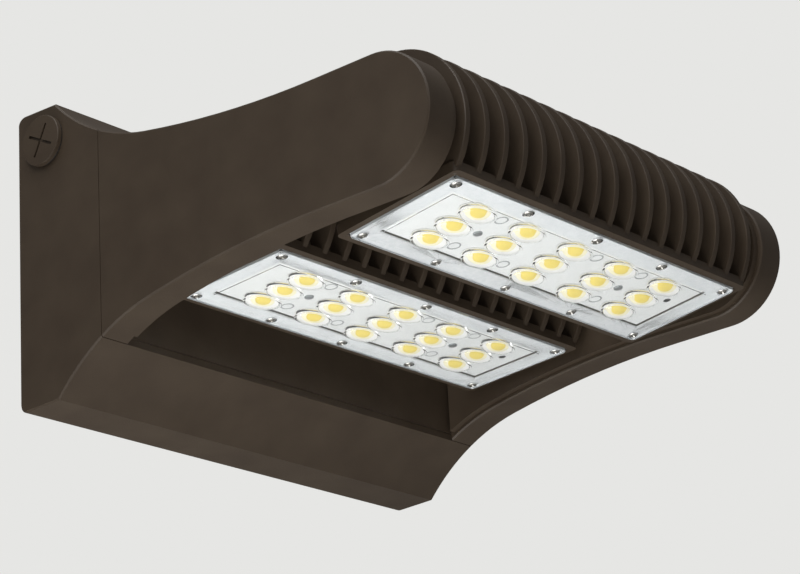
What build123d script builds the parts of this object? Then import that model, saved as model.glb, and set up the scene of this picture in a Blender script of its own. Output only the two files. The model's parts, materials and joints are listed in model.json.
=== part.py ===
from build123d import *
from math import asin, cos, radians, sin, sqrt, tan
import os

os.makedirs("parts", exist_ok=True)

# Wall pack light with two tilting LED modules. Lengths in mm, angles in degrees.
# Frame: origin on the wall at the middle of the box's back, +X to the right seen
# from the front, -Y out of the wall, +Z up.

# ---- Driving dimensions: side outline of the box and the arms ----
box_width = 354.0
box_height = 200.0
box_depth = 73.4  # wall to seam
edge_flat = 35.0  # depth of the flat top and bottom strips
edge_draft = 1.0  # how far those strips lean in by their front edge
back_corner_radius = 6.0
flare_angle = 48.0  # slope of the hollow sweep where it leaves the flat strip
flare_radius = 142.0
arm_half_height = 41.3
arm_reach = 339.5  # wall to the tips of the arms
arm_level_run = 44.3  # level edge between the arm's long curve and its round tip
arm_thickness = 22.3
edge_chamfer = 1.0  # on the castings' outer edges

# ---- Wall box ----
wall = 4.0
rim_thickness = 4.5
ledge_width = 6.0
ledge_thickness = 4.0
gasket_thickness = 2.0
frame_plate_thickness = 4.5
seam_gap = 0.5  # shadow line between the box and the arms
fit_gap = 0.4  # clearance round a piece that drops into a recess
touch_gap = 0.1  # clearance between faces that slide on each other
thread_gap = 0.05  # radial clearance drawn between a thread and its hole
wire_entry_radius = 17.5
grommet_lip = 4.0
grommet_thickness = 2.0
wall_seal_radius = 62.0
wall_seal_width = 7.0
wall_seal_depth = 2.0
mount_hole_radius = 3.5
mount_inset_x = 37.0  # mounting holes from the sides of the box
mount_inset_z = 25.0  # and from its top and bottom
box_slot_spacing = 88.9  # round junction box, 3 1/2 in between its screws
box_slot_length = 14.0
box_slot_width = 5.0

# ---- Side conduit entries and their plugs ----
conduit_radius = 13.3  # 3/4 in conduit thread
conduit_depth_y = 25.3  # centre of the entry from the wall
conduit_drop = 24.2  # centre of the entry from the top of the box
conduit_boss_radius = 18.0
conduit_boss_length = 10.0
plug_head_radius = 16.7
plug_head_thickness = 3.2
plug_head_chamfer = 0.4
plug_shank_length = 12.0
plug_slot_width = 1.8
plug_slot_length = 23.0
plug_slot_depth = 1.4
plug_slot_angle = 28.0
plug_ring_section = 1.0

# ---- Front frame fixings ----
frame_screw_inset_x = 47.0  # from the edges of the box's window
frame_screw_inset_z = 8.4
frame_screw_radius = 2.5
frame_screw_length = 18.0
frame_screw_head_radius = 4.6
frame_screw_head_height = 3.2
frame_boss_radius = 6.0
frame_boss_length = 18.0
hook_inset = 57.0  # from the side edges of the window
hook_width = 30.0
hook_thickness = 4.5
hook_lip = 4.5

# ---- Arms: wire channel and inner cover ----
arm_skin = 5.0
arm_rim = 6.0
cover_thickness = 4.7
cover_inset = 3.0
wire_slot_width = 9.0
wire_slot_height = 40.0
cover_screw_offset = 30.0
cover_screw_radius = 2.0
cover_screw_length = 12.0
cover_screw_head_radius = 3.6
cover_screw_head_height = 2.2
cover_post_radius = 5.0

# ---- LED modules ----
tip_margin = 0.7  # fins behind the tips of the arms
module_gap = 23.4  # between the fins of the two modules
rear_gap = 22.3  # from the rear module's fins to the recess wall
front_pivot_z = 2.0
rear_pivot_z = 0.5
front_tilt = 7.8  # front edge up
rear_tilt = 3.6
fin_count = 17
fin_thickness = 4.4
fin_edge_round = 0.6
lens_drop = 41.0  # pivot axis down to the lens plate's outer face
lens_setback = 5.5  # pivot axis back to the lens plate's middle
flange_side_gap = 5.0  # between the flange's ends and the arm covers
flange_lip = 5.2  # flange beyond the lens plate's long edges
flange_bottom = 1.6  # heights above the lens plate's outer face
flange_top = 8.0
core_top = 13.0
core_margin = 2.0  # core beyond the board's long edges
pad_length = 8.6
pad_width = 9.0
pad_top = 14.0
lens_end_inset = 5.0  # lens plate inside the flange's ends
lens_edge_inset = 13.0  # and inside the circle of the fins
lens_thickness = 3.0
lens_corner_radius = 4.0
lens_gasket_thickness = 1.0
pocket_depth = 2.6
board_end_inset = 13.5  # board inside the lens plate's ends
board_edge_inset = 13.8  # and inside its long edges
board_thickness = 1.6
board_gap = 0.5  # round the board in its pocket
panel_step = 0.5  # the plate stands out this much over the board
led_columns = 5
led_rows = 3
led_end_inset = 33.3  # outer LEDs from the board's ends
led_edge_inset = 9.4  # and from its long edges
led_side = 5.0
led_height = 0.9
led_dome_radius = 2.1
led_dome_sink = 1.1  # centre of the dome above the package's face
optic_length = 30.0
optic_gap = 1.0  # between the optics of two rows
optic_height = 3.0
optic_cavity_radius = 4.0
optic_cavity_depth = 1.6
lens_screw_count = 5  # along each long edge
lens_screw_end_inset = 6.7
lens_screw_edge_inset = 5.7
lens_screw_radius = 1.75
lens_screw_length = 6.0
lens_screw_head_radius = 3.3
lens_screw_head_height = 2.0
lens_screw_sink = 1.5  # depth of the well in the lens plate that holds the head
screw_tip_gap = 0.3  # hole beyond a screw's tip
board_screw_radius = 1.5
board_screw_length = 5.0
board_screw_head_radius = 3.0
board_screw_head_height = 0.9

# ---- Module pivots ----
hub_flange_radius = 17.0
hub_flange_thickness = 3.0
trunnion_radius = 10.0
trunnion_bore_radius = 5.5
trunnion_length = 21.0
hub_screw_circle = 13.4
hub_screw_radius = 1.5
hub_screw_length = 6.5
hub_screw_head_radius = 2.85
hub_screw_head_gap = 0.15
washer_thickness = 2.86
lock_nut_radius = 15.0  # to its corners
lock_nut_thickness = 6.0
lead_radius = 2.4
lead_gap = 0.1
lead_bend = 9.0
lead_end_inset = 4.0  # module lead's end inside the trunnion
lead_joint_gap = 0.3  # between the turning lead and the fixed one
arm_lead_radius = 1.8
gland_gap = 0.16  # between the gland and the fins beside it
gland_height = 9.0

# ---- Electrical gear in the wall box ----
driver_length = 170.0
driver_width = 46.0
driver_height = 34.0
driver_drop = 52.0  # its middle from the top of the box
bracket_thickness = 1.6
bracket_margin = 14.0
standoff_height = 3.0
standoff_radius = 5.0
driver_corner_radius = 4.0
gear_screw_radius = 1.5
gear_screw_length = 8.0
bracket_screw_length = 6.4
gear_screw_head_radius = 2.8
gear_screw_head_height = 1.8
ear_length = 9.0
ear_width = 10.0
ear_thickness = 2.0
ear_screw_offset = 4.0  # from the unit's end
block_size = (42.0, 20.0, 18.0)  # along X, Y and Z
block_place = (-95.0, -45.0)  # X and Z of its middle
block_pole_pitch = 13.0
block_screw_radius = 2.5
block_screw_height = 1.0
surge_size = (50.0, 24.0, 30.0)
surge_place = (90.0, -42.0)
ground_screw_place = (-40.0, -52.0)
ground_screw_radius = 2.4
ground_screw_length = 7.0
ground_head_radius = 4.2
ground_head_height = 2.6
boss_height = 6.0
wire_radius = 1.1
wire_lift = 12.0  # straight part of a wire where it leaves an entry or a screw
wire_step = 5.0  # between neighbouring wires
back_lane = 15.0  # depths of the wires from the wall
middle_lane = 22.0
low_wire_drop = 7.0  # the supply's place in the grommet, under its middle
bend_share = 0.45  # part of a wire's straight run that its bend may use
surge_lane = 20.0
input_lane_gap = 15.0  # between the driver's end and the inner input wire
driver_lead_spread = 8.0  # the arm leads at the driver's end, over and under its middle
front_lead_lane = 15.0  # height of each arm lead in its arm
rear_lead_lane = -12.0
front_lead_depth = 24.0  # depth of each at the driver
rear_lead_depth = 33.0
lead_straight = 26.0  # out of the driver
lead_slope = 39.0  # then down towards the slot
lead_clear = 14.0  # past the plate, before it turns into the arm
cut_past = 1.0  # how far a cutting body runs past the face that it cuts
same_place = 0.01  # edges nearer than this to a plane lie in it

# ---- Worked out from the driving dimensions ----
half_width = box_width / 2
arm_inner_x = half_width - arm_thickness
cover_face_x = arm_inner_x - cover_thickness
arm_root_y = -(box_depth + seam_gap)
mount_x = half_width - mount_inset_x
mount_z = box_height / 2 - mount_inset_z
driver_middle_z = box_height / 2 - driver_drop
conduit_height = box_height / 2 - conduit_drop
plate_back_y = arm_root_y + frame_plate_thickness
ledge_front_y = plate_back_y + gasket_thickness
ledge_back_y = ledge_front_y + ledge_thickness

flare_start = (-edge_flat, box_height / 2 - edge_draft)
flare_centre = (
    flare_start[0] - flare_radius * sin(radians(flare_angle)),
    flare_start[1] + flare_radius * cos(radians(flare_angle)),
)
tip_centre_y = -(arm_reach - arm_half_height)
neck_end_y = tip_centre_y + arm_level_run

# The arm's long curve is the circle that touches the level edge at neck_end_y and,
# from outside, the circle of the hollow sweep.
sweep_run = flare_centre[0] - neck_end_y
sweep_rise = flare_centre[1] - arm_half_height
neck_radius = (sweep_run**2 + sweep_rise**2 - flare_radius**2) / (2 * (sweep_rise - flare_radius))
neck_angle = asin(sweep_run / (neck_radius - flare_radius))
neck_start = (
    flare_centre[0] + flare_radius * sin(neck_angle),
    flare_centre[1] - flare_radius * cos(neck_angle),
)


def flare_height(y):
    """Half height of the outline where the hollow sweep passes depth y."""
    return flare_centre[1] - sqrt(flare_radius**2 - (y - flare_centre[0]) ** 2)


seam_half = flare_height(-box_depth)
recess_half_x = half_width - wall
recess_half_z = seam_half - rim_thickness
window_half_x = recess_half_x - ledge_width
window_half_z = recess_half_z - ledge_width
frame_screw_x = window_half_x - frame_screw_inset_x
frame_screw_z = window_half_z - frame_screw_inset_z
hook_x = window_half_x - hook_inset

fin_radius = (arm_reach - tip_margin - module_gap - rear_gap + arm_root_y) / 4
front_pivot = (tip_margin + fin_radius - arm_reach, front_pivot_z)  # Y and Z of the axis
rear_pivot = (arm_root_y - rear_gap - fin_radius, rear_pivot_z)
hub_face_x = cover_face_x - touch_gap - washer_thickness
fin_end_x = hub_face_x - hub_flange_thickness
fin_pitch = (2 * fin_end_x - fin_thickness) / (fin_count - 1)
gland_radius = (fin_pitch - fin_thickness) / 2 - gland_gap
flange_length = 2 * (cover_face_x - flange_side_gap)
lens_length = flange_length - 2 * lens_end_inset
lens_width = 2 * (fin_radius - lens_edge_inset)
flange_width = lens_width + 2 * flange_lip
board_length = lens_length - 2 * board_end_inset
board_width = lens_width - 2 * board_edge_inset
core_width = board_width + 2 * core_margin
led_pitch_x = (board_length - 2 * led_end_inset) / (led_columns - 1)
led_pitch_y = (board_width - 2 * led_edge_inset) / (led_rows - 1)
optic_width = led_pitch_y - optic_gap
lens_screw_pitch = (lens_length - 2 * lens_screw_end_inset) / (lens_screw_count - 1)
lens_screw_spread = lens_width - 2 * lens_screw_edge_inset
board_screw_x = 1.5 * led_pitch_x  # halfway between two columns of LEDs
lead_gap_x = fin_end_x - fin_thickness - 1.5 * fin_pitch + fin_thickness / 2
hub_sink_x = hub_face_x - hub_flange_thickness / 2
nut_inner_x = arm_inner_x + touch_gap
lead_end_x = fin_end_x + trunnion_length - lead_end_inset
driver_seat_y = -(wall + standoff_height + bracket_thickness)
gear_seat_y = -(wall + boss_height)


# ---- Small building functions ----
def box_between(low, high):
    """Block between two corners."""
    size = [b - a for a, b in zip(low, high)]
    middle = [(a + b) / 2 for a, b in zip(low, high)]
    return Pos(*middle) * Box(*size)


def rod(radius, start, end):
    """Round bar between two points that differ along one axis."""
    line = Vector(*end) - Vector(*start)
    plane = Plane(origin=start, z_dir=line)
    return extrude(plane * Circle(radius), amount=line.length)


def side_slab(sketch, x0, x1):
    """Sketch drawn in Y and Z, made solid from x0 to x1."""
    return extrude(Plane.YZ.offset(x0) * sketch, amount=x1 - x0)


def both_sides(shape):
    """A solid and its mirror image across the middle plane."""
    return [shape, mirror(shape, about=Plane.YZ)]


def wire_run(points, radius):
    """Insulated wire: straight runs joined by tangent arcs as large as the runs allow."""
    points = [Vector(*p) for p in points]
    runs = [b - a for a, b in zip(points, points[1:])]
    bends = []
    for before, after in zip(runs, runs[1:]):
        half_turn = radians(before.get_angle(after) / 2)
        bends.append(bend_share * min(before.length, after.length) / tan(half_turn))
    path = FilletPolyline(*points, radius=bends)
    return sweep(Plane(origin=points[0], z_dir=runs[0]) * Circle(radius), path=path)


def pan_screw(head_radius, head_height, radius, length, recess=True):
    """Pan-head screw along -Z, its head's underside at the origin, with a cross recess."""
    head = Pos(0, 0, head_height / 2) * Cylinder(head_radius, head_height)
    crown = head.edges().filter_by(GeomType.CIRCLE).sort_by(Axis.Z)[-1]
    head = fillet(crown, head_height * 0.55)
    shank = Pos(0, 0, -length / 2) * Cylinder(radius, length)
    screw = head + shank
    if recess:
        blade = Box(head_radius * 1.1, head_radius * 0.26, head_height)
        cross = Pos(0, 0, head_height) * (blade + Rot(0, 0, 90) * blade)
        screw -= cross
    return screw


def save(name, *solids):
    """Writes one node: a single solid, or a group of identical ones."""
    shape = solids[0] if len(solids) == 1 else Compound(children=list(solids))
    export_step(shape, f"parts/{name}.step")


def on_side_face(edge):
    """True for an edge that lies in the left or right side face."""
    return abs(abs(edge.center().X) - half_width) < same_place


def at_depth(edge, y):
    """True for an edge in the upright plane at depth y."""
    return abs(edge.center().Y - y) < same_place


# ---- Side outlines ----
def box_outline():
    """Side view of the wall box, from the wall to the seam."""
    middle_y = (flare_start[0] - box_depth) / 2
    top = [
        Line((0, 0), (0, box_height / 2)),
        Line((0, box_height / 2), flare_start),
        ThreePointArc(flare_start, (middle_y, flare_height(middle_y)), (-box_depth, seam_half)),
        Line((-box_depth, seam_half), (-box_depth, 0)),
        Line((-box_depth, 0), (0, 0)),
    ]
    half = make_face(top)
    face = half + mirror(half, about=Plane.XZ)
    corners = [v for v in face.vertices() if v.X > -same_place and abs(v.Y) > wall]
    return fillet(corners, back_corner_radius)


def arm_outline(root_y=arm_root_y):
    """Side view of an arm, from its root to its round tip."""
    root_half = flare_height(root_y)
    flare_mid = (root_y + neck_start[0]) / 2
    neck_centre_z = arm_half_height + neck_radius
    neck_mid = (
        neck_end_y + neck_radius * sin(neck_angle / 2),
        neck_centre_z - neck_radius * cos(neck_angle / 2),
    )
    top = [
        Line((root_y, 0), (root_y, root_half)),
        ThreePointArc((root_y, root_half), (flare_mid, flare_height(flare_mid)), neck_start),
        ThreePointArc(neck_start, neck_mid, (neck_end_y, arm_half_height)),
        Line((neck_end_y, arm_half_height), (tip_centre_y, arm_half_height)),
        CenterArc((tip_centre_y, 0), arm_half_height, 90, 90),
        Line((-arm_reach, 0), (root_y, 0)),
    ]
    half = make_face(top)
    return half + mirror(half, about=Plane.XZ)


# ---- Wall box ----
def wall_box():
    outline = box_outline()
    body = side_slab(outline, -half_width, half_width)
    rim = [e for e in body.edges() if on_side_face(e) and not at_depth(e, -box_depth)]
    body = chamfer(rim, edge_chamfer)
    room = offset(outline, amount=-wall, kind=Kind.INTERSECTION)
    keep = Pos((ledge_back_y - wall) / 2, 0) * Rectangle(-ledge_back_y - wall, 2 * box_height)
    body -= side_slab(room & keep, -recess_half_x, recess_half_x)
    body -= box_between(
        (-recess_half_x, -box_depth - cut_past, -recess_half_z),
        (recess_half_x, ledge_front_y, recess_half_z),
    )
    body -= box_between(
        (-window_half_x, ledge_front_y - cut_past, -window_half_z),
        (window_half_x, ledge_back_y + cut_past, window_half_z),
    )
    body += conduit_bosses() + frame_bosses() + gear_bosses()
    for x in (-frame_screw_x, frame_screw_x):
        body -= rod(
            frame_screw_radius + thread_gap,
            (x, ledge_front_y - cut_past, frame_screw_z),
            (x, ledge_front_y + frame_screw_length, frame_screw_z),
        )
    boss_end_x = half_width - wall - conduit_boss_length
    for bore in conduit_axes(conduit_radius, half_width + cut_past, boss_end_x - cut_past):
        body -= bore
    tapped = [(place, gear_screw_radius) for place in gear_screw_places()]
    tapped.append((ground_screw_place, ground_screw_radius))
    for (x, z), radius in tapped:
        body -= rod(radius + thread_gap, (x, gear_seat_y - cut_past, z), (x, -wall / 2, z))
    return body - back_holes()


def conduit_axes(radius, x0, x1):
    """Left and right bars along the conduit entries' axes."""
    bar = rod(radius, (x0, -conduit_depth_y, conduit_height), (x1, -conduit_depth_y, conduit_height))
    return both_sides(bar)


def conduit_bosses():
    pair = conduit_axes(conduit_boss_radius, half_width - wall / 2, half_width - wall - conduit_boss_length)
    return pair[0] + pair[1]


def frame_bosses():
    """Bosses for the two frame screws, hung from the upper ledge."""
    front = ledge_front_y
    back = front + frame_boss_length
    foot, head = (frame_screw_x, front, frame_screw_z), (frame_screw_x, back, frame_screw_z)
    post = rod(frame_boss_radius, foot, head)
    web = box_between(
        (frame_screw_x - frame_boss_radius, front, frame_screw_z),
        (frame_screw_x + frame_boss_radius, back, window_half_z + ledge_width / 2),
    )
    pair = both_sides(post + web)
    return pair[0] + pair[1]


def gear_screw_places():
    """X and Z of the small screws that hold the driver bracket, terminal block and surge unit."""
    bracket_x = driver_length / 2 + bracket_margin / 2
    places = [(-bracket_x, driver_middle_z), (bracket_x, driver_middle_z)]
    for (x, z), size in ((block_place, block_size), (surge_place, surge_size)):
        reach = size[0] / 2 + ear_screw_offset
        places += [(x - reach, z), (x + reach, z)]
    return places


def gear_bosses():
    """Low round bosses on the back wall under every gear screw."""
    bosses = []
    for n, (x, z) in enumerate(gear_screw_places()):
        height = standoff_height if n < 2 else boss_height
        bosses.append(rod(standoff_radius, (x, -wall / 2, z), (x, -wall - height, z)))
    gx, gz = ground_screw_place
    bosses.append(rod(standoff_radius, (gx, -wall / 2, gz), (gx, -wall - boss_height, gz)))
    return bosses[0] + bosses[1:]


def back_holes():
    """Everything cut through or into the back wall."""
    inside_y = -wall - cut_past
    cuts = [rod(wire_entry_radius, (0, cut_past, 0), (0, inside_y, 0))]
    groove = rod(wall_seal_radius, (0, cut_past, 0), (0, -wall_seal_depth, 0))
    cuts.append(groove - rod(wall_seal_radius - wall_seal_width, (0, 2 * cut_past, 0), (0, -wall, 0)))
    for x in (-mount_x, mount_x):
        for z in (-mount_z, mount_z):
            cuts.append(rod(mount_hole_radius, (x, cut_past, z), (x, inside_y, z)))
    slot = SlotOverall(box_slot_length, box_slot_width)
    slot = Rot(90, 0, 0) * extrude(slot, amount=wall + cut_past, both=True)
    for x in (-box_slot_spacing / 2, box_slot_spacing / 2):
        cuts.append(Pos(x, 0, 0) * slot)
    return cuts[0] + cuts[1:]


def wall_seal():
    """Foam ring in the groove round the wire entry."""
    ring = rod(wall_seal_radius - fit_gap / 2, (0, 0, 0), (0, -wall_seal_depth, 0))
    hole_radius = wall_seal_radius - wall_seal_width + fit_gap / 2
    return ring - rod(hole_radius, (0, cut_past, 0), (0, -wall, 0))


def wire_grommet():
    """Rubber bush that lines the wire entry in the back wall."""
    bush = rod(wire_entry_radius, (0, 0, 0), (0, -wall, 0))
    lip_y = -wall - grommet_thickness
    bush += rod(wire_entry_radius + grommet_lip, (0, -wall, 0), (0, lip_y, 0))
    return bush - rod(wire_entry_radius - grommet_lip, (0, cut_past, 0), (0, lip_y - cut_past, 0))


def conduit_plug():
    """Right-hand plug: disc head with a cross slot, threaded shank."""
    centre = (-conduit_depth_y, conduit_height)
    seat = half_width + plug_ring_section
    head = rod(plug_head_radius, (seat, *centre), (seat + plug_head_thickness, *centre))
    outer = head.edges().filter_by(GeomType.CIRCLE).sort_by(Axis.X)[-1]
    head = chamfer(outer, plug_head_chamfer)
    shank = rod(conduit_radius - thread_gap, (seat, *centre), (half_width - plug_shank_length, *centre))
    plug = head + shank
    bar = Box(2 * plug_slot_depth, plug_slot_width, plug_slot_length)
    face_x = seat + plug_head_thickness
    for angle in (plug_slot_angle, plug_slot_angle + 90):
        plug -= Pos(face_x, *centre) * Rot(angle, 0, 0) * bar
    return plug


def plug_ring():
    """Flat seal under the right-hand plug's head."""
    centre = (-conduit_depth_y, conduit_height)
    seat = half_width + plug_ring_section
    ring = rod(plug_head_radius - fit_gap, (half_width, *centre), (seat, *centre))
    inner, outer = (half_width - cut_past, *centre), (seat + cut_past, *centre)
    return ring - rod(conduit_radius + fit_gap, inner, outer)


# ---- Front frame ----
def arm(side):
    """An arm, on the right where side is 1 and on the left where it is -1, hollow towards its cover."""
    overrun_y = arm_root_y + 2 * edge_chamfer  # cut off again once the edges are chamfered
    inner_x, outer_x = side * arm_inner_x, side * half_width
    body = side_slab(arm_outline(overrun_y), min(inner_x, outer_x), max(inner_x, outer_x))
    rims = [e for e in body.edges() if not at_depth(e, overrun_y) and abs(e.tangent_at(0.5).X) < 0.5]
    body = chamfer(rims, edge_chamfer)
    body -= box_between((-box_width, arm_root_y, -box_height), (box_width, 0, box_height))
    channel = offset(arm_outline(), amount=-arm_rim, kind=Kind.INTERSECTION)
    skin_x = side * (half_width - arm_skin)
    body -= side_slab(channel, min(inner_x - side, skin_x), max(inner_x - side, skin_x))
    for y, z in cover_screw_places():
        body += rod(cover_post_radius, (inner_x, y, z), (skin_x + side, y, z))
    tip_x = side * (cover_face_x + cover_screw_length + cut_past)
    for y, z in cover_screw_places():
        body -= rod(cover_screw_radius + thread_gap, (inner_x - side, y, z), (tip_x, y, z))
    return body


def cover_screw_places():
    """Y and Z of the four screws that hold an arm cover, two beside each pivot."""
    places = []
    for y, z in (front_pivot, rear_pivot):
        places += [(y - cover_screw_offset, z), (y + cover_screw_offset, z)]
    return places


def frame_hook():
    """Right-hand hook at the plate's foot, which catches behind the box's lower ledge."""
    low = -window_half_z + fit_gap
    neck = box_between(
        (hook_x - hook_width / 2, plate_back_y - frame_plate_thickness / 2, low),
        (hook_x + hook_width / 2, ledge_back_y + fit_gap + hook_thickness, low + hook_thickness),
    )
    lip = box_between(
        (hook_x - hook_width / 2, ledge_back_y + fit_gap, low - hook_lip),
        (hook_x + hook_width / 2, ledge_back_y + fit_gap + hook_thickness, low + hook_thickness),
    )
    return neck + lip


def front_frame():
    plate = box_between(
        (fit_gap - recess_half_x, arm_root_y, fit_gap - recess_half_z),
        (recess_half_x - fit_gap, plate_back_y, recess_half_z - fit_gap),
    )
    frame = plate + [arm(1), arm(-1)] + both_sides(frame_hook())
    slot_outer = window_half_x - fit_gap
    slot = box_between(
        (slot_outer - wire_slot_width, arm_root_y - 2 * arm_rim, -wire_slot_height / 2),
        (slot_outer, plate_back_y + cut_past, wire_slot_height / 2),
    )
    for cut in both_sides(slot):
        frame -= cut
    for x in (-frame_screw_x, frame_screw_x):
        frame -= rod(
            frame_screw_radius + fit_gap / 2,
            (x, arm_root_y - cut_past, frame_screw_z),
            (x, plate_back_y + cut_past, frame_screw_z),
        )
    return frame


def frame_gasket():
    """Silicone ring between the frame's plate and the box's ledge."""
    outer = box_between(
        (fit_gap - recess_half_x, plate_back_y, fit_gap - recess_half_z),
        (recess_half_x - fit_gap, ledge_front_y, recess_half_z - fit_gap),
    )
    return outer - box_between(
        (-window_half_x, plate_back_y - cut_past, -window_half_z),
        (window_half_x, ledge_front_y + cut_past, window_half_z),
    )


def frame_screws():
    head = (frame_screw_head_radius, frame_screw_head_height)
    screw = Rot(90, 0, 0) * pan_screw(*head, frame_screw_radius, frame_screw_length)
    return [Pos(x, arm_root_y, frame_screw_z) * screw for x in (-frame_screw_x, frame_screw_x)]


def arm_cover():
    """Right-hand inner cover, which closes the wire channel and carries the pivots."""
    outline = offset(arm_outline(), amount=-cover_inset, kind=Kind.INTERSECTION)
    plate = side_slab(outline, cover_face_x, arm_inner_x)
    bores = [(place, trunnion_radius + thread_gap) for place in (front_pivot, rear_pivot)]
    bores += [(place, cover_screw_radius + fit_gap / 2) for place in cover_screw_places()]
    for (y, z), radius in bores:
        plate -= rod(radius, (cover_face_x - cut_past, y, z), (arm_inner_x + cut_past, y, z))
    return plate


def cover_screws():
    head = (cover_screw_head_radius, cover_screw_head_height)
    screw = Rot(0, -90, 0) * pan_screw(*head, cover_screw_radius, cover_screw_length)
    right = [Pos(cover_face_x, y, z) * screw for y, z in cover_screw_places()]
    return right + [mirror(s, about=Plane.YZ) for s in right]


# ---- LED module, drawn round its pivot axis with the lens plate level ----
lens_y = lens_setback
lens_z = -lens_drop


def module_block(length, width, low, high):
    """Block centred over the lens plate, between two heights above its outer face."""
    middle = lens_z + (low + high) / 2
    return Pos(0, lens_y, middle) * Box(length, width, high - low)


def lens_screw_places():
    """X and Y of the screws along the lens plate's two long edges."""
    first = -(lens_screw_count - 1) / 2
    rows = (-lens_screw_spread / 2, lens_screw_spread / 2)
    columns = [(first + n) * lens_screw_pitch for n in range(lens_screw_count)]
    return [(x, lens_y + row) for row in rows for x in columns]


def led_places():
    """X and Y of every LED and its optic."""
    columns = [(n - (led_columns - 1) / 2) * led_pitch_x for n in range(led_columns)]
    rows = [lens_y + (n - (led_rows - 1) / 2) * led_pitch_y for n in range(led_rows)]
    return [(x, y) for x in columns for y in rows]


gasket_top = lens_thickness + lens_gasket_thickness
board_top = gasket_top + pocket_depth
board_bottom = board_top - board_thickness
pocket_length = board_length + 2 * board_gap
pocket_width = board_width + 2 * board_gap


def fin():
    """One round-topped fin, cut off level with the flange."""
    disc = Rot(0, 90, 0) * Cylinder(fin_radius, fin_thickness)
    rims = disc.edges().filter_by(GeomType.CIRCLE)
    disc = fillet(rims, fin_edge_round)
    floor = lens_z + (flange_bottom + flange_top) / 2
    return disc & box_between((-fin_pitch, -fin_radius, floor), (fin_pitch, fin_radius, fin_radius))


def heatsink():
    body = module_block(flange_length, flange_width, flange_bottom, flange_top)
    body = fillet(body.edges().filter_by(Axis.Z), lens_corner_radius)
    body += module_block(2 * fin_end_x - fin_thickness, core_width, flange_top, core_top)
    first = -(fin_count - 1) / 2 * fin_pitch
    one_fin = fin()
    body += [Pos(first + n * fin_pitch, 0, 0) * one_fin for n in range(fin_count)]
    body += flange_pads(first)
    body -= module_block(lens_length + fit_gap, lens_width + fit_gap, flange_bottom - cut_past, gasket_top)
    body -= module_block(pocket_length, pocket_width, gasket_top - cut_past, board_top)
    tip = lens_z + lens_screw_sink + lens_screw_length + screw_tip_gap
    for x, y in lens_screw_places():
        body -= rod(lens_screw_radius + thread_gap, (x, y, lens_z), (x, y, tip))
    low = lens_z + board_top - cut_past
    tip = lens_z + board_bottom + board_screw_length + cut_past
    for x in (-board_screw_x, board_screw_x):
        body -= rod(board_screw_radius + thread_gap, (x, lens_y, low), (x, lens_y, tip))
    body -= rod(trunnion_bore_radius, (fin_end_x + cut_past, 0, 0), (lead_gap_x, 0, 0))
    high = lens_z + core_top + cut_past
    body -= rod(lead_radius + lead_gap, (lead_gap_x, 0, low), (lead_gap_x, 0, high))
    for cut in hub_screw_holes():
        body -= cut
    return body


def flange_pads(first):
    """Small pads on the flange, one in each gap along both edges."""
    pad = module_block(pad_length, pad_width, flange_bottom + pocket_depth, pad_top)
    y = lens_screw_spread / 2
    places = [(first + (n + 0.5) * fin_pitch, side * y) for n in range(fin_count - 1) for side in (-1, 1)]
    return [Pos(x, y, 0) * pad for x, y in places]


def hub_screw_places():
    """Y and Z of the four screws of a hub."""
    half = hub_screw_circle * sin(radians(45))
    return [(y, z) for y in (-half, half) for z in (-half, half)]


def hub_screw_holes():
    """Holes in the two end fins for the hub screws."""
    start, end = fin_end_x + cut_past, fin_end_x - fin_thickness - cut_past
    holes = []
    for y, z in hub_screw_places():
        holes += both_sides(rod(hub_screw_radius + thread_gap, (start, y, z), (end, y, z)))
    return holes


def led_board():
    board = module_block(board_length, board_width, board_bottom, board_top)
    bottom, top = lens_z + board_bottom - cut_past, lens_z + board_top + cut_past
    for x in (-board_screw_x, board_screw_x):
        board -= rod(board_screw_radius + fit_gap / 2, (x, lens_y, bottom), (x, lens_y, top))
    return board - rod(lead_radius + lead_gap, (lead_gap_x, 0, bottom), (lead_gap_x, 0, top))


def leds():
    """LED packages: a square base with a low dome, facing down through the optics."""
    base_z = lens_z + board_bottom
    base = Pos(0, 0, base_z - led_height / 2) * Box(led_side, led_side, led_height)
    dome = Pos(0, 0, base_z - led_height + led_dome_sink) * Sphere(led_dome_radius)
    dome &= box_between(
        (-led_side, -led_side, base_z - 2 * led_dome_radius),
        (led_side, led_side, base_z - led_height / 2),
    )
    package = base + dome
    return [Pos(x, y, 0) * package for x, y in led_places()]


def optic_bulge():
    """Oval bulge of one optic below the lens plate."""
    dome = scale(Sphere(1), by=(optic_length / 2, optic_width / 2, optic_height))
    return Pos(0, 0, lens_z - panel_step) * dome


def lens_plate():
    plate = module_block(lens_length, lens_width, 0, lens_thickness)
    plate = fillet(plate.edges().filter_by(Axis.Z), lens_corner_radius)
    plate += module_block(board_length, board_width, -panel_step, lens_thickness / 2)
    bulge = optic_bulge() & box_between(
        (-optic_length, -optic_width, lens_z - 2 * optic_height), (optic_length, optic_width, lens_z)
    )
    plate += [Pos(x, y, 0) * bulge for x, y in led_places()]
    cavity = Pos(0, 0, lens_z + lens_thickness) * scale(
        Sphere(1), by=(optic_cavity_radius, optic_cavity_radius, optic_cavity_depth)
    )
    for x, y in led_places():
        plate -= Pos(x, y, 0) * cavity
    low, seat, high = lens_z - cut_past, lens_z + lens_screw_sink, lens_z + lens_thickness + cut_past
    for x, y in lens_screw_places():
        plate -= rod(lens_screw_radius + fit_gap / 2, (x, y, low), (x, y, high))
        plate -= rod(lens_screw_head_radius + fit_gap, (x, y, low), (x, y, seat))
    return plate


def lens_gasket():
    ring = module_block(lens_length, lens_width, lens_thickness, gasket_top)
    ring -= module_block(pocket_length, pocket_width, lens_thickness - cut_past, gasket_top + cut_past)
    for x, y in lens_screw_places():
        ring -= rod(lens_screw_radius + fit_gap / 2, (x, y, lens_z), (x, y, lens_z + gasket_top + cut_past))
    return ring


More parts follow.
